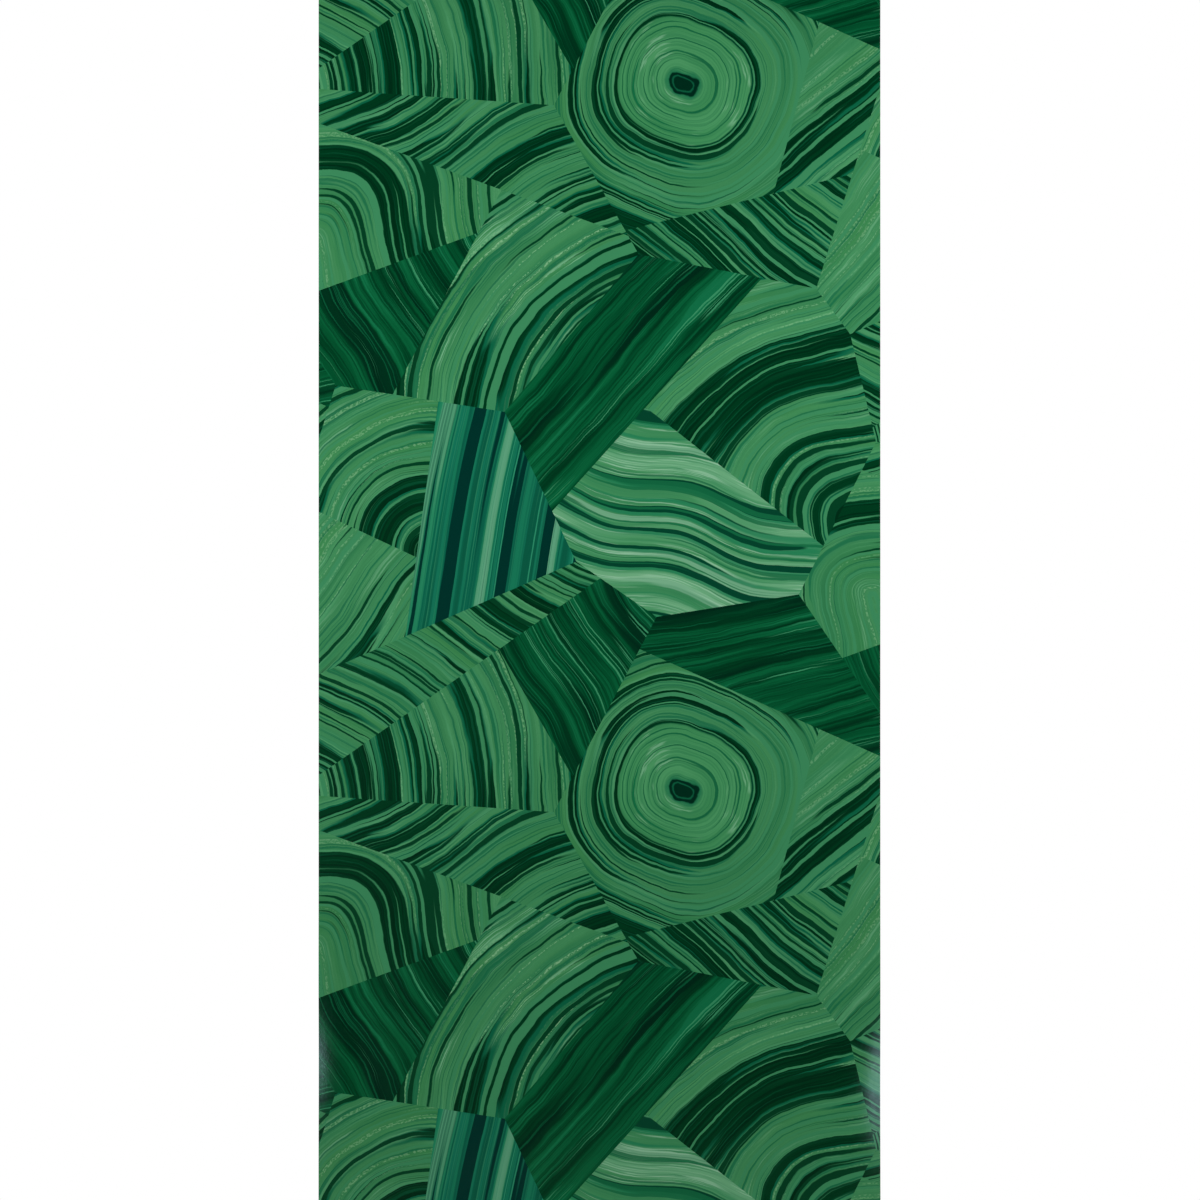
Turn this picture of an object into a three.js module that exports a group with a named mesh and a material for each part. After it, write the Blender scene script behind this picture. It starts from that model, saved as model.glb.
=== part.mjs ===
// A length of printed wallpaper, as it hangs flat on a wall with its print to the room.
// Millimetres, with +X to the right of the print, -Y out to the room and +Z up.
// The back lies in the plane y = 0, and the origin is the middle of that back.
import * as THREE from 'three';

// The sheet as it is cut from the roll.
const ROLL_WIDTH = 530;
const PRINT_REPEAT = 667; // height after which the print starts again
const REPEATS = 2;
const LENGTH = PRINT_REPEAT * REPEATS;
const PAPER_THICKNESS = 0.3;

// Each side edge lifts off the wall in one long shallow swell, low down where it is free.
const EDGE_CURL_WIDTH = 42;
const EDGE_CURL_TILT = THREE.MathUtils.degToRad(16); // of the very edge, where the swell is highest
const EDGE_CURL_HALF_HEIGHT = 170;
const LEFT_CURL_CENTRE = -443;
const RIGHT_CURL_CENTRE = -465;

// The lower end keeps a little of the roll's curl and comes forward.
const END_CURL_HEIGHT = 130;
const END_CURL_TILT = THREE.MathUtils.degToRad(12);

// Steps of the facets: fine where the paper curls, coarse where it lies flat.
const EDGE_CURL_STEPS = 8;
const FLAT_STEPS_ACROSS = 6;
const FLAT_STEPS_DOWN = 5;
const CURLED_STEPS_DOWN = 32;

const INK_GREEN = 0x1f623d; // the print's middle tone, seen from across a room

// Evenly spaced numbers from one value to another, both ends included.
function evenSteps(from, to, steps) {
  return Array.from({ length: steps + 1 }, (_, i) => from + ((to - from) * i) / steps);
}

// Paper whose tilt grows evenly from none to `tilt` over `length`, taken `reach` along it:
// it has risen by tilt * reach^2 / (2 length) and drawn in by tilt^2 * reach^3 / (6 length^2).
function curl(reach, length, tilt) {
  const along = Math.max(0, reach);
  return {
    rise: (tilt * along ** 2) / (2 * length),
    drawnIn: (tilt ** 2 * along ** 3) / (6 * length ** 2),
  };
}

// How much of the edge's curl there is at this height: one smooth swell, 1 in its middle.
function swell(height, centre) {
  const offset = Math.min(1, Math.abs(height - centre) / EDGE_CURL_HALF_HEIGHT);
  return Math.cos((Math.PI / 2) * offset) ** 2;
}

// Where a point of the uncurled sheet comes to lie, `depth` in front of its back.
function placeOnSheet(across, height, depth) {
  const centre = across < 0 ? LEFT_CURL_CENTRE : RIGHT_CURL_CENTRE;
  const edgeReach = Math.abs(across) - (ROLL_WIDTH / 2 - EDGE_CURL_WIDTH);
  const edge = curl(edgeReach, EDGE_CURL_WIDTH, EDGE_CURL_TILT * swell(height, centre));
  const end = curl(END_CURL_HEIGHT - LENGTH / 2 - height, END_CURL_HEIGHT, END_CURL_TILT);
  return [across - Math.sign(across) * edge.drawnIn, -(edge.rise + end.rise + depth), height + end.drawnIn];
}

// Two grids of points, the print and the back, joined by a strip of facets round the rim.
function sheetGeometry() {
  const flatHalf = ROLL_WIDTH / 2 - EDGE_CURL_WIDTH;
  const curlTop = LEFT_CURL_CENTRE + EDGE_CURL_HALF_HEIGHT;
  const across = [
    ...evenSteps(-ROLL_WIDTH / 2, -flatHalf, EDGE_CURL_STEPS).slice(0, -1),
    ...evenSteps(-flatHalf, flatHalf, FLAT_STEPS_ACROSS),
    ...evenSteps(flatHalf, ROLL_WIDTH / 2, EDGE_CURL_STEPS).slice(1),
  ];
  const heights = [
    ...evenSteps(LENGTH / 2, curlTop, FLAT_STEPS_DOWN),
    ...evenSteps(curlTop, -LENGTH / 2, CURLED_STEPS_DOWN).slice(1),
  ];
  const columns = across.length;
  const rows = heights.length;
  const positions = [];
  for (const depth of [PAPER_THICKNESS, 0]) {
    for (const height of heights) {
      for (const x of across) positions.push(...placeOnSheet(x, height, depth));
    }
  }

  const index = [];
  const quad = (a, b, c, d) => index.push(a, b, c, a, c, d);
  const print = (row, column) => row * columns + column;
  const back = (row, column) => rows * columns + print(row, column);
  for (let row = 0; row < rows - 1; row += 1) {
    for (let column = 0; column < columns - 1; column += 1) {
      quad(print(row, column), print(row + 1, column), print(row + 1, column + 1), print(row, column + 1));
      quad(back(row, column), back(row, column + 1), back(row + 1, column + 1), back(row + 1, column));
    }
    quad(print(row, 0), back(row, 0), back(row + 1, 0), print(row + 1, 0));
    const last = columns - 1;
    quad(print(row, last), print(row + 1, last), back(row + 1, last), back(row, last));
  }
  for (let column = 0; column < columns - 1; column += 1) {
    quad(print(0, column), print(0, column + 1), back(0, column + 1), back(0, column));
    const low = rows - 1;
    quad(print(low, column), back(low, column), back(low, column + 1), print(low, column + 1));
  }

  const geometry = new THREE.BufferGeometry();
  geometry.setAttribute('position', new THREE.Float32BufferAttribute(positions, 3));
  geometry.setIndex(index);
  geometry.computeVertexNormals();
  return geometry;
}

const wallpaper = new THREE.Group();
const sheet = new THREE.Mesh(
  sheetGeometry(),
  new THREE.MeshStandardMaterial({ color: INK_GREEN, roughness: 0.5, metalness: 0 }),
);
sheet.name = 'wallpaper_sheet';
wallpaper.add(sheet);

export default wallpaper;
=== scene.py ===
import math
from typing import NamedTuple

import bpy
import numpy as np
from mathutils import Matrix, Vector
from mathutils.geometry import delaunay_2d_cdt


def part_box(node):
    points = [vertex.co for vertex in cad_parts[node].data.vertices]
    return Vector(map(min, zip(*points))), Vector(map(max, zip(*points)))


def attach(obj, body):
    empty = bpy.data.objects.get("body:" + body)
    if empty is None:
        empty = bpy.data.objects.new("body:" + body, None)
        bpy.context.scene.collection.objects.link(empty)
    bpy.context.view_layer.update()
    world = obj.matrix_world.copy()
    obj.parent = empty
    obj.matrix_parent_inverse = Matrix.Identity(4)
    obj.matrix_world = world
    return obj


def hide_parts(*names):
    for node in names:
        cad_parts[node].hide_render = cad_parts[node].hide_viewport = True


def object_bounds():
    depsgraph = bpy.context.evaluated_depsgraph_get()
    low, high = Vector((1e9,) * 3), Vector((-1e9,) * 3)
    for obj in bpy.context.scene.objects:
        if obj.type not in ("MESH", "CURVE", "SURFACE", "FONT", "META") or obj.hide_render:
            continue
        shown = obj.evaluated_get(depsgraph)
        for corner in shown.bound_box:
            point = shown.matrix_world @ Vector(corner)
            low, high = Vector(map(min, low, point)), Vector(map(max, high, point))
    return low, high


# A length of wallpaper printed with a mosaic of banded malachite slabs. The paper is one thin
# sheet. The slabs are ink only: the sheet's front is cut into triangles along their outlines,
# and each triangle's corners carry where they lie among the bands, which the inks read.
# Lengths are in millimetres up to the moment they go into a mesh, the camera or a lamp.

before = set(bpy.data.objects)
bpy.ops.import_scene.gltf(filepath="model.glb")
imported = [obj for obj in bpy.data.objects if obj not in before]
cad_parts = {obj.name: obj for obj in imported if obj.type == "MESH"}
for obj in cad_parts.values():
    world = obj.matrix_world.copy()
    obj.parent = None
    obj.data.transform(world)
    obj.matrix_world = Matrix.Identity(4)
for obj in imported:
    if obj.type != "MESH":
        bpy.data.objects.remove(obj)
cad_low, cad_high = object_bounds()

MM = 0.001

# The sheet, from the frame, and its shape where it curls, as in the solid.
SHEET_LOW, SHEET_HIGH = (np.array(corner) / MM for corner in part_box("wallpaper_sheet"))
ROLL_WIDTH = SHEET_HIGH[0] - SHEET_LOW[0]
LENGTH = 2 * SHEET_HIGH[2]
REPEATS = 2
REPEAT = LENGTH / REPEATS
PAPER_THICKNESS = 0.3
EDGE_CURL_WIDTH = 42
EDGE_CURL_TILT = math.radians(16)
EDGE_CURL_HALF_HEIGHT = 170
LEFT_CURL_CENTRE = -443
RIGHT_CURL_CENTRE = -465
END_CURL_HEIGHT = 130
END_CURL_TILT = math.radians(12)

# The print is a half-drop: the next length of paper goes on half a repeat lower.
NEXT_DROP = np.array([ROLL_WIDTH, REPEAT / 2])
NEXT_REPEAT = np.array([0, REPEAT])

# The mosaic in one repeat: blocks (across, up, reach), then the straight saw cuts through
# them (across, up, angle). A block takes every place that is nearer to it than to the others,
# once its reach squared is taken off the distance squared.
BLOCKS = (
    (118, 470, 120),
    (-128, 330, 120),
    (60, 170, 110),
    (-170, 60, 100),
    (-110, 590, 90),
)
SAW_CUTS = (
    (118, 372, 14),
    (118, 585, -24),
    (190, 480, 75),
    (-128, 400, -20),
    (-160, 260, 62),
    (60, 200, 48),
    (110, 130, -38),
    (-170, 60, 82),
    (-215, 60, -25),
    (-110, 610, 35),
    (-60, 560, -60),
    (-215, 310, 20),
)


class Slab(NamedTuple):
    """A slab of the mosaic: its bands run round a heart line at even distances from it."""

    holds: tuple  # a place inside the slab
    ink: str
    heart: tuple  # the middle of the heart line
    turn: float  # the heart line's angle
    half: float  # half its length
    square: float  # 2 rounds the bands where they turn, more squares them
    wave: tuple = (0, 1)  # height and length of a wave that runs along the bands


FAR = 3000  # half length of a heart line that runs right past its slab
SLABS = (
    Slab((95, 478), "eye", (80, 488), -14, 5, 2.2, (3, 150)),
    Slab((225, 480), "plain", (420, 480), 40, FAR, 2, (2, 160)),
    Slab((118, 340), "striped", (118, 40), -38, FAR, 2, (3, 190)),
    Slab((150, 610), "dark", (0, 900), 12, FAR, 2, (3, 230)),
    Slab((-100, 300), "brushed", (80, 150), 0, 0, 2.1, (4, 210)),
    Slab((20, 230), "dark", (-300, 300), 48, FAR, 2, (3, 260)),
    Slab((160, 190), "banded", (262, 62), 20, 0, 3, (4, 180)),
    Slab((70, 80), "sage", (0, -400), -14, FAR, 2, (5, 145)),
    Slab((-120, 100), "teal", (300, 100), 79, FAR, 2, (2, 300)),
    Slab((-210, 140), "banded", (-150, 40), 0, 0, 2.2),
    Slab((-225, 20), "plain", (-500, 300), 52, FAR, 2, (3, 140)),
    Slab((-175, 600), "striped", (0, 1200), -30, FAR, 2, (3, 170)),
    Slab((-20, 607), "dark", (-600, 600), -58, FAR, 2, (3, 120)),
    Slab((-130, 525), "banded", (-350, 470), 0, 0, 2.3, (8, 170)),
    Slab((-120, 430), "striped", (0, 1200), 28, FAR, 2, (6, 190)),
    Slab((-215, 270), "dark", (200, 900), -62, FAR, 2, (4, 150)),
    Slab((-220, 340), "plain", (-262, 262), 96, 75, 2.6, (3, 120)),
)
SLAB_SHIFT = 1000  # added to the bands of each next slab, so that no two are alike

FRONT_STEP = 3.6  # between the points of the printed side
BACK_STEP = 9
CORNER_GAP = 0.3  # how much of a step stays free at each end of an outline's side
NEAR = 1e-4  # points nearer to each other than this are one
CREASE = math.radians(40)  # a fold this sharp has a crisp edge, which only the cut edge has

# Where the faces lie on the bake's square map. The two repeats are alike and share one place.
MAP_FRONT_WIDTH = 0.775
MAP_FRONT_HEIGHT = 0.98
MAP_BACK = (0.79, 0.98)
MAP_RIM = (0.985, 0.998)

# The photograph: the sheet's width and middle in its frame, which is 1200 pixels square.
PHOTO_PIXELS = 1200
SHEET_PIXELS = 561.65
SHEET_MIDDLE_PIXEL = 599.5
PIXEL = ROLL_WIDTH / SHEET_PIXELS
LENS = 120
SENSOR = 36


def linear(hex_colour):
    """An sRGB hex colour as linear red, green, blue and alpha."""
    shown = [int(hex_colour[i:i + 2], 16) / 255 for i in (1, 3, 5)]
    return [c / 12.92 if c <= 0.04045 else ((c + 0.055) / 1.055) ** 2.4 for c in shown] + [1]


# The sheet's form

def curl(reach, length, tilt):
    """How far paper has risen and drawn in, `reach` along a curl whose tilt grows evenly.

    It rises by tilt times reach squared over twice the length, and draws in by tilt squared
    times reach cubed over six times the length squared.
    """
    along = np.maximum(reach, 0)
    return tilt * along**2 / (2 * length), tilt**2 * along**3 / (6 * length**2)


def lie(across, up, depth):
    """Where points of the uncurled sheet come to lie, `depth` in front of its back.

    Each side edge curls by an amount that swells once, as a squared cosine, along its height.
    The lower end curls forward by itself, and the two rises add up.
    """
    centre = np.where(across < 0, LEFT_CURL_CENTRE, RIGHT_CURL_CENTRE)
    offset = np.minimum(np.abs(up - centre) / EDGE_CURL_HALF_HEIGHT, 1)
    swell = np.cos(math.pi / 2 * offset) ** 2
    edge_reach = np.abs(across) - (ROLL_WIDTH / 2 - EDGE_CURL_WIDTH)
    edge_rise, edge_in = curl(edge_reach, EDGE_CURL_WIDTH, EDGE_CURL_TILT * swell)
    end_reach = END_CURL_HEIGHT - LENGTH / 2 - up
    end_rise, end_in = curl(end_reach, END_CURL_HEIGHT, END_CURL_TILT)
    forward = edge_rise + end_rise + depth
    return np.stack([across - np.sign(across) * edge_in, -forward, up + end_in], 1)


# The mosaic

def trimmed(outline, normal, limit):
    """The part of an outline where its distance along `normal` is at most `limit`.

    Each corner on that side stays, and each side that crosses the line gives a new corner.
    """
    beyond = outline @ normal - limit
    after = np.roll(outline, -1, 0)
    beyond_after = np.roll(beyond, -1)
    crosses = (beyond <= 0) != (beyond_after <= 0)
    share = beyond / np.where(crosses, beyond - beyond_after, 1)
    crossing = outline + share[:, None] * (after - outline)
    kept = np.stack([beyond <= 0, crosses], 1).ravel()
    return np.stack([outline, crossing], 1).reshape(-1, 2)[kept]


def copies():
    """The shifts that carry the print onto itself, over the sheet and a drop to each side."""
    steps = range(-2 * REPEATS, 2 * REPEATS + 1)
    return [drop * NEXT_DROP + step * NEXT_REPEAT for drop in (-1, 0, 1) for step in steps]


def block_outline(block):
    """A block's cell: a wide square, trimmed by the line where each other block takes over."""
    middle, reach = np.array(block[:2]), block[2]
    wide = 2 * REPEAT
    outline = middle + wide * np.array([(-1, -1), (1, -1), (1, 1), (-1, 1)])
    for other in BLOCKS:
        for shift in copies():
            there = np.array(other[:2]) + shift
            if np.allclose(there, middle):
                continue
            limit = (there @ there - other[2] ** 2 - middle @ middle + reach**2) / 2
            outline = trimmed(outline, there - middle, limit)
    return outline


def holder(outlines, place):
    """Which of these convex outlines has the place inside: it is left of each of its sides."""
    for number, outline in enumerate(outlines):
        side = np.roll(outline, -1, 0) - outline
        to = np.array(place) - outline
        if (side[:, 0] * to[:, 1] > side[:, 1] * to[:, 0]).all():
            return number
    raise ValueError(f"no slab holds the place {place}")


def slab_outlines():
    """The outline of each slab in one repeat: the blocks, split by the saw cuts in turn."""
    outlines = [block_outline(block) for block in BLOCKS]
    for across, up, angle in SAW_CUTS:
        whole = outlines.pop(holder(outlines, (across, up)))
        normal = np.array([-math.sin(math.radians(angle)), math.cos(math.radians(angle))])
        limit = normal @ (across, up)
        outlines += [trimmed(whole, normal, limit), trimmed(whole, -normal, -limit)]
    return [outlines[holder(outlines, slab.holds)] for slab in SLABS]


def slabs_on_sheet():
    """Each slab wherever the sheet shows it: its number, its shift and its trimmed outline."""
    shown = []
    for number, outline in enumerate(slab_outlines()):
        for shift in copies():
            part = outline + shift
            for normal, limit in ((1, 0), ROLL_WIDTH / 2), ((0, 1), LENGTH / 2):
                part = trimmed(part, np.array(normal), limit)
                part = trimmed(part, -np.array(normal), limit) if len(part) else part
                if not len(part):
                    break
            if len(part) > 2:
                shown.append((number, shift, part))
    return shown


def walked(outline, step):
    """An outline with points added along its sides, at the same places on a line whoever asks.

    Along each line they lie at whole steps from the foot of the origin, so that the slabs on
    its two sides get the same ones.
    """
    points = []
    for start, end in zip(outline, np.roll(outline, -1, 0)):
        way = (end - start) / np.linalg.norm(end - start)
        sign = 1 if tuple(np.round(way, 6)) > (0, 0) else -1
        low, high = sorted((sign * way @ start, sign * way @ end))
        first, last = math.ceil(low / step + CORNER_GAP), math.floor(high / step - CORNER_GAP)
        marks = step * np.arange(first, last + 1)[::sign]
        points += [start[None], start + (sign * marks - way @ start)[:, None] * way]
    return np.concatenate(points)


def grid_between(outlines, step):
    """Points of a triangular grid over the sheet, none within half a step of an outline."""
    row = step * math.sqrt(3) / 2
    up = np.arange(-LENGTH / 2 + row / 2, LENGTH / 2, row)
    across = np.arange(-ROLL_WIDTH / 2 + step / 4, ROLL_WIDTH / 2, step)
    shift = np.where(np.arange(len(up)) % 2, step / 2, 0)
    points = np.stack([(across + shift[:, None]).ravel(), np.repeat(up, len(across))], 1)
    free = np.ones(len(points), bool)
    for outline in outlines:
        for start, end in zip(outline, np.roll(outline, -1, 0)):
            side = end - start
            share = ((points - start) @ side / (side @ side)).clip(0, 1)
            away = points - start - share[:, None] * side
            free &= (away**2).sum(1) > (step / 2) ** 2
    inside = np.abs(points[:, 0]) < ROLL_WIDTH / 2
    return points[free & inside]


def triangles_within(outlines, step):
    """Triangles of about even size over the sheet, none of which crosses an outline.

    Returns their corner points, the triangles, anticlockwise, and the outline of each.
    """
    walks = [walked(outline, step) for outline in outlines]
    points = np.concatenate(walks + [grid_between(outlines, step)])
    ends = np.cumsum([len(walk) for walk in walks])
    loops = [list(range(end - len(walk), end)) for walk, end in zip(walks, ends)]
    made = delaunay_2d_cdt(list(map(Vector, points)), [], loops, 0, NEAR)
    corners, faces, owners = np.array(made[0]), np.array(made[2]), made[5]
    return corners, faces, np.array([owner[0] for owner in owners])


def across_bands(slab, place):
    """Distance from a slab's heart line, which its bands follow.

    With the line turned level, it is the norm, of the power `square`, of how far past the
    line's end a place lies and how far beside the line, once a sine wave has shifted it.
    """
    turn = math.radians(slab.turn)
    away = place - np.array(slab.heart)
    along = away @ (math.cos(turn), math.sin(turn))
    height, length = slab.wave
    beside = away @ (-math.sin(turn), math.cos(turn))
    beside += height * np.sin(2 * math.pi * along / length)
    past = np.maximum(np.abs(along) - slab.half, 0)
    return (past**slab.square + np.abs(beside) ** slab.square) ** (1 / slab.square)


# The mesh

def rim_order(points):
    """The numbers of the points on the sheet's outer edge, in order round it, anticlockwise."""
    across, up = points.T
    on_edge = (np.abs(across) > ROLL_WIDTH / 2 - NEAR) | (np.abs(up) > LENGTH / 2 - NEAR)
    numbers = np.flatnonzero(on_edge)
    across, up = across[numbers] / ROLL_WIDTH, up[numbers] / LENGTH
    return numbers[np.argsort(np.arctan2(up, across))]


def sheet_mesh(inks):
    """The whole sheet as one closed mesh: printed front, plain back, and the cut edge between.

    Its materials are the inks, in the order of their names here, and then the paper.
    """
    shown = slabs_on_sheet()
    flat, front, owner = triangles_within([part for _, _, part in shown], FRONT_STEP)
    number = np.array([number for number, _, _ in shown])[owner]
    shift = np.array([shift for _, shift, _ in shown])[owner]

    ahead = rim_order(flat)
    back_flat, back, _ = triangles_within([flat[ahead]], BACK_STEP)
    behind = rim_order(back_flat) + len(flat)

    points = np.concatenate([lie(*flat.T, PAPER_THICKNESS), lie(*back_flat.T, 0)])
    rim = np.concatenate([
        np.stack([ahead, behind, np.roll(behind, -1)], 1),
        np.stack([ahead, np.roll(behind, -1), np.roll(ahead, -1)], 1),
    ])
    faces = np.concatenate([front, back[:, ::-1] + len(flat), rim])

    mesh = bpy.data.meshes.new("printed_wallpaper")
    mesh.from_pydata(points * MM, [], faces)
    write_grain(mesh, flat[front] - shift[:, None], number)

    ink_number = np.array([inks.index(slab.ink) for slab in SLABS])
    paper = np.full(len(faces) - len(front), len(inks))
    mesh.polygons.foreach_set("material_index", np.concatenate([ink_number[number], paper]))
    mesh.shade_smooth()
    mesh.set_sharp_from_angle(angle=CREASE)

    plan = np.concatenate([flat, back_flat])[faces]
    write_bake_map(mesh, plan, len(front), len(back))
    mesh.update()
    return mesh


def write_grain(mesh, place, number):
    """Writes `grain` on the corners of the front, from their places in the first repeat.

    It holds how far a corner lies across its slab's bands, and then its place.
    """
    bands = np.zeros(place.shape[:2])
    for k, slab in enumerate(SLABS):
        bands[number == k] = across_bands(slab, place[number == k]) + SLAB_SHIFT * k
    grain = np.zeros((len(mesh.polygons), 3, 3))
    grain[:len(place)] = np.concatenate([bands[..., None], place], 2)
    mesh.attributes.new("grain", "FLOAT_VECTOR", "CORNER").data.foreach_set("vector", grain.ravel())


def write_bake_map(mesh, plan, fronts, backs):
    """The bake's map: the front's two repeats on one place, the back and the rim beside it."""
    across = plan[..., 0] / ROLL_WIDTH + 0.5
    up = plan[..., 1] / LENGTH + 0.5
    lower = np.floor(up.mean(1) * REPEATS)[:, None]
    spot = np.empty((len(plan), 3, 2))
    spot[:, :, 0] = MAP_FRONT_WIDTH * across
    spot[:, :, 1] = MAP_FRONT_HEIGHT * (up * REPEATS - lower) + (1 - MAP_FRONT_HEIGHT) / 2
    is_back = slice(fronts, fronts + backs)
    spot[is_back, :, 0] = MAP_BACK[0] + (MAP_BACK[1] - MAP_BACK[0]) * across[is_back]
    spot[is_back, :, 1] = up[is_back]
    is_rim = slice(fronts + backs, None)
    spot[is_rim, :, 0] = MAP_RIM[0] + (MAP_RIM[1] - MAP_RIM[0]) * across[is_rim]
    spot[is_rim, :, 1] = up[is_rim]
    mesh.uv_layers.new(name="OFBake").uv.foreach_set("vector", spot.ravel())


# Materials

def node(tree, kind, inputs=(), output=0, tones=(), **settings):
    """Adds a shader node with its settings, ramp tones and inputs, and returns its output.

    An input is a link or a value. Tones are places on a ramp and their sRGB hex colours.
    """
    made = tree.nodes.new("ShaderNode" + kind)
    for name, value in settings.items():
        setattr(made, name, value)
    for number, (place, colour) in enumerate(tones):
        stops = made.color_ramp.elements
        stop = stops[number] if number < 2 else stops.new(place)
        stop.position, stop.color = place, linear(colour)
    for name, value in dict(inputs).items():
        if isinstance(value, bpy.types.NodeSocket):
            tree.links.new(value, made.inputs[name])
        else:
            made.inputs[name].default_value = value
    return made.outputs[output]


class Stroke(NamedTuple):
    """One printing of lines along the bands: noise drawn out along them, inked above a limit."""

    colour: str
    across: float  # the noise's grain across the bands, in mm
    along: float  # and along them
    limit: float  # from 0 to 1: the higher, the fewer and thinner the lines
    softness: float = 0.015  # of their edges, on the same scale
    strength: float = 1
    shift: float = 0  # across the bands, in mm: far makes other lines, near follows the same ones
    gather: float = 0  # how far it gathers where the ribbons do
    detail: int = 1
    kept_to: tuple = None  # another stroke, which it only prints on


def strands(tree, grain, across, along, detail=1, shift=0):
    """Noise drawn out along the bands, about `across` mm wide and `along` mm long."""
    scale = (1 / across, 1 / along, 1 / along)
    place = {"Vector": grain, "Scale": scale, "Location": (shift / across, 0, 0)}
    drawn_out = node(tree, "Mapping", place)
    texture = {"Vector": drawn_out, "Scale": 1, "Detail": detail, "Roughness": 0.55}
    return node(tree, "TexNoise", texture, noise_dimensions="3D")


def inked(tree, grain, stroke, cluster):
    """Where a stroke prints, from 0 to its strength."""
    strand = strands(tree, grain, stroke.across, stroke.along, stroke.detail, stroke.shift)
    if stroke.gather:
        gathered = {0: cluster, 1: stroke.gather, 2: strand}
        strand = node(tree, "Math", gathered, operation="MULTIPLY_ADD")
    low, high = stroke.limit - stroke.softness, stroke.limit + stroke.softness
    ends = {"Value": strand, "From Min": low, "From Max": high, "To Max": stroke.strength}
    where = node(tree, "MapRange", ends, interpolation_type="SMOOTHSTEP")
    if stroke.kept_to:
        there = inked(tree, grain, stroke.kept_to, cluster)
        where = node(tree, "Math", {0: where, 1: there}, operation="MULTIPLY")
    return where


def overprinted(tree, grain, ground, strokes, cluster=None):
    """Inks laid over a ground one by one, each stroke where it prints."""
    for stroke in strokes:
        where = inked(tree, grain, stroke, cluster)
        mix = {"Fac": where, "Color1": ground, "Color2": linear(stroke.colour)}
        ground = node(tree, "MixRGB", mix)
    return ground


def toned(tree, grain, across, along, tones, detail=1):
    """A ground that runs through the tones from strand to strand."""
    return node(tree, "ValToRGB", {"Fac": strands(tree, grain, across, along, detail)}, tones=tones)


def new_material(name, specular):
    """A material with its node tree and its Principled shader."""
    material = bpy.data.materials.new(name)
    material.use_nodes = True
    shader = material.node_tree.nodes["Principled BSDF"]
    shader.inputs["Specular IOR Level"].default_value = specular
    return material, material.node_tree, shader


TOOTH_WIDTH = 3  # in mm: the real fibre bundles are about 1 mm wide, too fine to show
TOOTH_HEIGHT = 0.05  # in mm, as much more than the real 0.02, which keeps the slopes
SATIN = (0.17, 0.23)  # the ink's roughness, from its smoothest to its roughest
MATT = (0.8, 0.9)  # and the bare paper's


def paper_tooth(tree, shader, roughness):
    """The faint tooth of non-woven paper: soft bumps, a little rougher on their tops."""
    place = node(tree, "TexCoord", output="Object")
    tooth = node(tree, "TexNoise", {"Vector": place, "Scale": 1 / (TOOTH_WIDTH * MM), "Detail": 3})
    smoothest, roughest = roughness
    ends = {"Value": tooth, "From Min": 0.3, "From Max": 0.7, "To Min": smoothest, "To Max": roughest}
    tree.links.new(node(tree, "MapRange", ends), shader.inputs["Roughness"])
    bump = node(tree, "Bump", {"Height": tooth, "Strength": 1, "Distance": TOOTH_HEIGHT * MM})
    tree.links.new(bump, shader.inputs["Normal"])
    return tooth


# How far the hand wavers as it lays the bands: length and swing in mm, and detail.
WAVERS = ((90, 9, 0), (26, 4.5, 3))


def ink_base(name, steadiness=1):
    """Gravure ink on smooth non-woven paper, which dries to an even satin film.

    To the eye that is a full colour, with a soft sheen only where the paper turns to a lamp.
    Returns its material, node tree and shader, and the wavering grain.
    """
    material, tree, shader = new_material("satin_ink_" + name, 0.3)
    paper_tooth(tree, shader, SATIN)
    grain = node(tree, "Attribute", output="Vector", attribute_name="grain")
    for length, swing, detail in WAVERS:
        place = {"Vector": grain, "Scale": 1 / length, "Detail": detail, "Roughness": 0.45}
        waver = node(tree, "TexNoise", place, noise_dimensions="3D")
        most = swing / steadiness / 2
        ends = {"Value": waver, "To Min": -most, "To Max": most}
        shift = node(tree, "CombineXYZ", {"X": node(tree, "MapRange", ends)})
        grain = node(tree, "VectorMath", {0: grain, 1: shift}, operation="ADD")
    return material, tree, shader, grain


LIGHT_GREENS = (
    (0.3, "#2f764a"), (0.42, "#377f4f"), (0.52, "#3d8453"), (0.62, "#418957"), (0.75, "#4e9662"),
)

GROUND_STROKES = (
    Stroke("#3c8449", 24, 300, 0.6, 0.08, 0.5, shift=90),
    Stroke("#2a7b52", 10, 300, 0.61, 0.05, 0.35, shift=50),
    Stroke("#226a40", 1.5, 110, 0.56, 0.08, 0.2),
    Stroke("#60a475", 1.3, 90, 0.65, 0.05, 0.27, shift=130),
    Stroke("#2f7a4c", 1.6, 2.2, 0.6, 0.1, 0.2, shift=10),
)


def light_ground(tree, grain):
    """The light green that lies under the lines: flat, with a drift to olive and to blue."""
    return overprinted(tree, grain, toned(tree, grain, 15, 500, LIGHT_GREENS, 2), GROUND_STROKES)


def dry_strokes(strength):
    """Broken pale streaks, where a nearly dry brush went, in a few places, and dotted lines."""
    patch = Stroke("", 16, 150, 0.6, 0.05, shift=70)
    line = Stroke("", 2.4, 420, 0.7, 0.02, shift=250, detail=0)
    return (
        Stroke("#78b48b", 1.3, 70, 0.56, 0.06, strength, shift=30, detail=2, kept_to=patch),
        Stroke("#7fb585", 1.6, 2.4, 0.51, 0.08, strength, shift=110, kept_to=line),
    )


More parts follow.
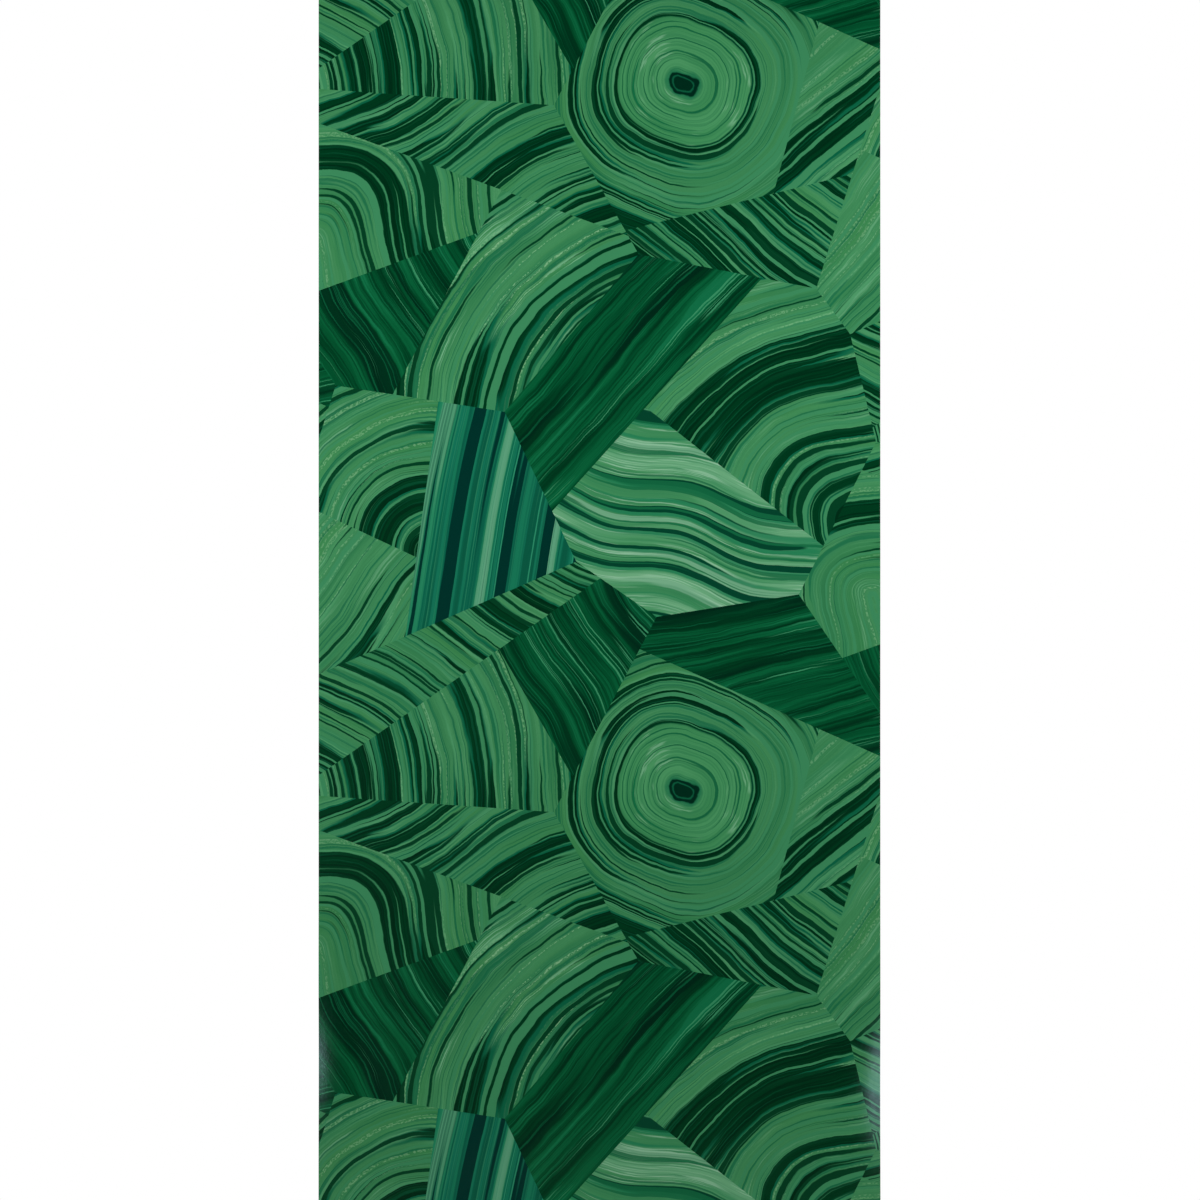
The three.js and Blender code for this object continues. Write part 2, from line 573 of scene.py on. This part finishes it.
def ribbons(tree, grain, ground, boldness, size):
    """Dark lines over a light ground, in clusters: hair lines, thin lines and broad ribbons.

    More boldness makes more of them, and size sets how broad they are and how far apart.
    """
    gathers = strands(tree, grain, 42 * size, 420, 1, shift=500)
    spread = {"Value": gathers, "To Min": -0.3 + boldness, "To Max": 0.3 + boldness}
    cluster = node(tree, "MapRange", spread)
    ribbon = Stroke("#00361b", 10.5 * size, 480, 0.59, 0.01, gather=1)
    return overprinted(tree, grain, ground, (
        ribbon._replace(colour="#56a070", limit=0.54, softness=0.02, strength=0.4, shift=-0.9 * size),
        Stroke("#146241", 1.4, 170, 0.66, 0.04, 0.7, shift=210, gather=0.5, detail=0),
        Stroke("#166844", 2.3 * size, 230, 0.64, 0.035, 0.8, shift=20, gather=0.7, detail=0),
        ribbon._replace(colour="#0b5f40", limit=0.57, softness=0.025, shift=1.2 * size),
        Stroke("#043c21", 3.6 * size, 330, 0.615, 0.015, shift=40, gather=0.7, detail=0),
        ribbon,
        Stroke("#002613", 2.6, 220, 0.5, 0.08, 0.8, kept_to=ribbon),
        Stroke("#0a4d30", 1.6, 200, 0.62, 0.04, 0.7, shift=60, kept_to=ribbon),
        Stroke("#3a8558", 2.6 * size, 480, 0.66, 0.02, shift=60, detail=0),
    ), cluster)


def ribboned_ink(name, boldness, size, dryness=0):
    """Light green ink with dark ribbons over it, which a dry brush may have streaked first."""
    material, tree, shader, grain = ink_base(name)
    ground = light_ground(tree, grain)
    if dryness:
        ground = overprinted(tree, grain, ground, dry_strokes(dryness))
    tree.links.new(ribbons(tree, grain, ground, boldness, size), shader.inputs["Base Color"])
    return material


CALM_GREENS = ((0.35, "#3a8551"), (0.5, "#418c57"), (0.65, "#4b9560"))

EYE_RINGS = (
    Stroke("#2b774a", 1.5, 120, 0.52, 0.09, 0.55),
    Stroke(
        "#7fb68f", 1.3, 20, 0.56, 0.07, 0.6,
        kept_to=Stroke("", 14, 40, 0.6, 0.06),
    ),
    Stroke("#125f3b", 1.8, 180, 0.66, 0.03, 0.9, shift=15, detail=0),
    Stroke("#176b41", 4, 200, 0.69, 0.012, shift=15, detail=0),
)

CALM_REACH = 56  # in mm, how far out the calm rings go
HEART_LUMPS = 10  # in mm, how uneven the heart is
# The heart's tones from outside in: reach, softness of the edge, colour.
HEART_TONES = ((13, 3, "#1f7049"), (10.5, 0.7, "#00281a"), (7.5, 0.7, "#0e5a3b"), (6, 0.7, "#002a1a"))


def eye_ink():
    """Calm rings of hair lines round a dark heart, and bold rings further out."""
    material, tree, shader, grain = ink_base("eye_green")
    distance = node(tree, "SeparateXYZ", {0: grain})
    calm = overprinted(tree, grain, toned(tree, grain, 18, 200, CALM_GREENS), EYE_RINGS)
    bold = ribbons(tree, grain, light_ground(tree, grain), 0.045, 1.15)
    ends = {"Value": distance, "From Min": CALM_REACH, "From Max": CALM_REACH + 1}
    beyond = node(tree, "MapRange", ends)
    colour = node(tree, "MixRGB", {"Fac": beyond, "Color1": calm, "Color2": bold})
    lump = strands(tree, grain, 20, 20, 2)
    uneven = node(tree, "Math", {0: lump, 1: HEART_LUMPS, 2: distance}, operation="MULTIPLY_ADD")
    for reach, edge, tone in HEART_TONES:
        limit = reach + HEART_LUMPS / 2
        within = {"Value": uneven, "From Min": limit + edge, "From Max": limit - edge}
        where = node(tree, "MapRange", within, interpolation_type="SMOOTHSTEP")
        colour = node(tree, "MixRGB", {"Fac": where, "Color1": colour, "Color2": linear(tone)})
    tree.links.new(colour, shader.inputs["Base Color"])
    return material


DARK_GREENS = (
    (0.3, "#002817"), (0.4, "#00361c"), (0.46, "#013f22"), (0.48, "#024928"), (0.54, "#044e2b"),
    (0.56, "#065631"), (0.64, "#095c35"), (0.66, "#116a42"),
)

DARK_STROKES = (
    Stroke("#002516", 24, 420, 0.62, 0.04, 0.85, shift=300),
    Stroke("#003019", 1.6, 200, 0.58, 0.05, 0.6, shift=80),
    Stroke("#116a42", 1.4, 150, 0.63, 0.04, 0.5),
    Stroke(
        "#3a8f63", 1.4, 240, 0.6, 0.04, 0.85, shift=30,
        kept_to=Stroke("", 16, 240, 0.6, 0.03, shift=30),
    ),
)


def dark_ink():
    """The deepest green, laid on in long crisp strokes, with a few fine bright ones."""
    material, tree, shader, grain = ink_base("dark_green")
    colour = overprinted(tree, grain, toned(tree, grain, 8, 300, DARK_GREENS, 3), DARK_STROKES)
    tree.links.new(colour, shader.inputs["Base Color"])
    return material


TEAL_TONES = (
    (0.40, "#0a563f"), (0.43, "#0c6248"), (0.435, "#136d53"), (0.49, "#177453"), (0.495, "#0a5a44"),
    (0.54, "#0e644a"), (0.545, "#1b7854"), (0.60, "#27825c"), (0.605, "#4a926c"), (0.7, "#5f9f7c"),
)

TEAL_STRIPES = (
    Stroke("#0a5640", 1.8, 500, 0.58, 0.05, 0.5),
    Stroke("#2d8862", 1.5, 500, 0.64, 0.03, 0.55, shift=70),
    Stroke("#003028", 17, 2500, 0.56, 0.006, shift=140),
    Stroke("#2a8a66", 3, 2500, 0.68, 0.015, 0.9, shift=20, detail=0),
)


def teal_ink():
    """Blue-green ink in straight stripes of very uneven width."""
    material, tree, shader, grain = ink_base("teal", 5)
    colour = overprinted(tree, grain, toned(tree, grain, 20, 2500, TEAL_TONES), TEAL_STRIPES)
    tree.links.new(colour, shader.inputs["Base Color"])
    return material


SAGE_GREENS = (
    (0.3, "#357f51"), (0.43, "#3f8857"), (0.45, "#4a9160"),
    (0.54, "#519568"), (0.57, "#61a074"), (0.7, "#6aa67b"),
)

SAGE_LINE = Stroke("#04402a", 9, 420, 0.635, 0.01, shift=10, detail=0)

SAGE_STROKES = (
    Stroke("#79ad8b", 12, 420, 0.6, 0.015, 0.7, shift=200),
    Stroke("#2c7c50", 1.6, 160, 0.58, 0.05, 0.45),
    Stroke(
        "#8fbf9d", 1.4, 80, 0.58, 0.03, 0.75, shift=30, detail=2,
        kept_to=Stroke("", 15, 200, 0.5, 0.04, shift=90),
    ),
    SAGE_LINE._replace(colour="#1f7a50", limit=0.58, softness=0.04, strength=0.85, shift=12),
    SAGE_LINE,
    Stroke("#14663f", 4.5, 400, 0.65, 0.015, 0.85, shift=150, detail=0),
)


def sage_ink():
    """Pale green ink in broad soft waves, streaked fine and pale, with few dark lines."""
    material, tree, shader, grain = ink_base("sage", 1.6)
    colour = overprinted(tree, grain, toned(tree, grain, 13, 260, SAGE_GREENS, 2), SAGE_STROKES)
    tree.links.new(colour, shader.inputs["Base Color"])
    return material


CLOUD_WIDTH = 14  # in mm, of the uneven thickness that non-woven paper is laid with


def paper_back():
    """Non-woven paper, pressed from fibres and left unprinted.

    To the eye that is a matt off-white with no sheen, faintly cloudy where more fibres lie.
    """
    material, tree, shader = new_material("nonwoven_paper", 0.3)
    tooth = paper_tooth(tree, shader, MATT)
    place = node(tree, "TexCoord", output="Object")
    cloud = node(tree, "TexNoise", {"Vector": place, "Scale": 1 / (CLOUD_WIDTH * MM), "Detail": 3})
    fibres = node(tree, "Math", {0: tooth, 1: 0.4, 2: cloud}, operation="MULTIPLY_ADD")
    tones = ((0.45, "#dedbd2"), (0.95, "#ebe9e1"))
    tree.links.new(node(tree, "ValToRGB", {"Fac": fibres}, tones=tones), shader.inputs["Base Color"])
    return material


def make_sheet():
    """The wallpaper sheet, which stands for the solid."""
    inks = {
        "banded": ribboned_ink("banded_green", -0.01, 1.2, 0.5),
        "striped": ribboned_ink("striped_green", 0.01, 1.05),
        "brushed": ribboned_ink("brushed_green", 0.02, 1.8, 0.9),
        "plain": ribboned_ink("plain_green", -0.08, 1.6, 0.4),
        "eye": eye_ink(),
        "dark": dark_ink(),
        "teal": teal_ink(),
        "sage": sage_ink(),
    }
    mesh = sheet_mesh(list(inks))
    for material in (*inks.values(), paper_back()):
        mesh.materials.append(material)
    sheet = bpy.data.objects.new("printed_wallpaper", mesh)
    bpy.context.scene.collection.objects.link(sheet)
    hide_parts("wallpaper_sheet")
    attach(sheet, "root")


# The studio, in metres

def add_camera():
    """The photograph's view: square on, with the sheet as wide in the frame as it is there."""
    camera = bpy.data.objects.new("camera", bpy.data.cameras.new("camera"))
    camera.data.lens = LENS
    camera.data.sensor_width = SENSOR
    aside = (PHOTO_PIXELS / 2 - SHEET_MIDDLE_PIXEL) * PIXEL * MM
    back = PHOTO_PIXELS * PIXEL * LENS / SENSOR * MM
    camera.location = (aside, -back, 0)
    camera.rotation_euler = (math.pi / 2, 0, 0)
    bpy.context.scene.collection.objects.link(camera)
    bpy.context.scene.camera = camera


def add_lamp(name, place, across, size, power, colour):
    """A soft box that faces the sheet level, at a place across it, and isn't itself seen."""
    lamp = bpy.data.objects.new(name, bpy.data.lights.new(name, "AREA"))
    lamp.data.shape = "RECTANGLE"
    lamp.data.size, lamp.data.size_y = size
    lamp.data.energy = power
    lamp.data.color = colour
    lamp.location = place
    aim = Vector((across, 0, place[2])) - lamp.location
    lamp.rotation_euler = aim.to_track_quat("-Z", "Y").to_euler()
    lamp.visible_camera = False
    bpy.context.scene.collection.objects.link(lamp)
    return lamp


def add_studio():
    """Two soft boxes light the print from the sides, and two more the back.

    The print's sheen comes from two low strips alone, each seen in the curled edge across.
    """
    white, cool = (1, 1, 1), (0.6, 0.9, 1)
    sides = ((-1, "left", 1.6, 48, -1.05), (1, "right", 0.5, 21, -0.8))
    for side, name, wide, shine, height in sides:
        edge = side * -0.26
        key = add_lamp(name + "_softbox", (side * 1.1, -0.9, 0.27), edge, (0.7, 0.7), 12, white)
        key.data.spread = math.radians(150)
        key.visible_glossy = False
        place = (side * 2.5, -5.4, height)
        strip = add_lamp(name + "_strip", place, edge, (wide, 1.2), shine, cool)
        strip.visible_diffuse = False
        rear = add_lamp(name + "_rear_softbox", (side * 1.5, 1.6, 0.8), 0, (1, 1), 42, white)
        rear.visible_glossy = False


def add_white_surround():
    """White all round to the camera alone, so that it adds no light, and plain colours."""
    world = bpy.data.worlds.new("white_studio")
    bpy.context.scene.world = world
    world.use_nodes = True
    tree = world.node_tree
    background = tree.nodes["Background"]
    background.inputs["Color"].default_value = linear("#ffffff")
    seen = node(tree, "LightPath", output="Is Camera Ray")
    tree.links.new(seen, background.inputs["Strength"])
    bpy.context.scene.view_settings.view_transform = "Standard"


def add_floor():
    """A floor at the sheet's lower end, in matt white paint, which gives no mirror image.

    It fades into the white round it, by the distance from the sheet's middle.
    """
    half, low = 0.7, cad_low.z
    fade_from, fade_to = 0.7, 0.9
    corners = [(-half, -half, low), (half, -half, low), (half, half, low), (-half, half, low)]
    mesh = bpy.data.meshes.new("floor")
    mesh.from_pydata(corners, [], [(0, 1, 2, 3)])
    floor = bpy.data.objects.new("floor", mesh)
    bpy.context.scene.collection.objects.link(floor)
    material, tree, shader = new_material("matt_white_paint", 0.2)
    shader.inputs["Roughness"].default_value = 0.9
    shader.inputs["Base Color"].default_value = linear("#f2f2f0")
    place = node(tree, "TexCoord", output="Object")
    away = node(tree, "VectorMath", {0: place}, "Value", operation="LENGTH")
    fade = node(tree, "MapRange", {"Value": away, "From Min": fade_from, "From Max": fade_to})
    white = node(tree, "Emission", {"Strength": node(tree, "LightPath", output="Is Camera Ray")})
    mixed = node(tree, "MixShader", {0: fade, 1: shader.outputs[0], 2: white})
    tree.links.new(mixed, tree.nodes["Material Output"].inputs["Surface"])
    mesh.materials.append(material)


add_camera()
add_studio()
add_white_surround()
add_floor()
make_sheet()
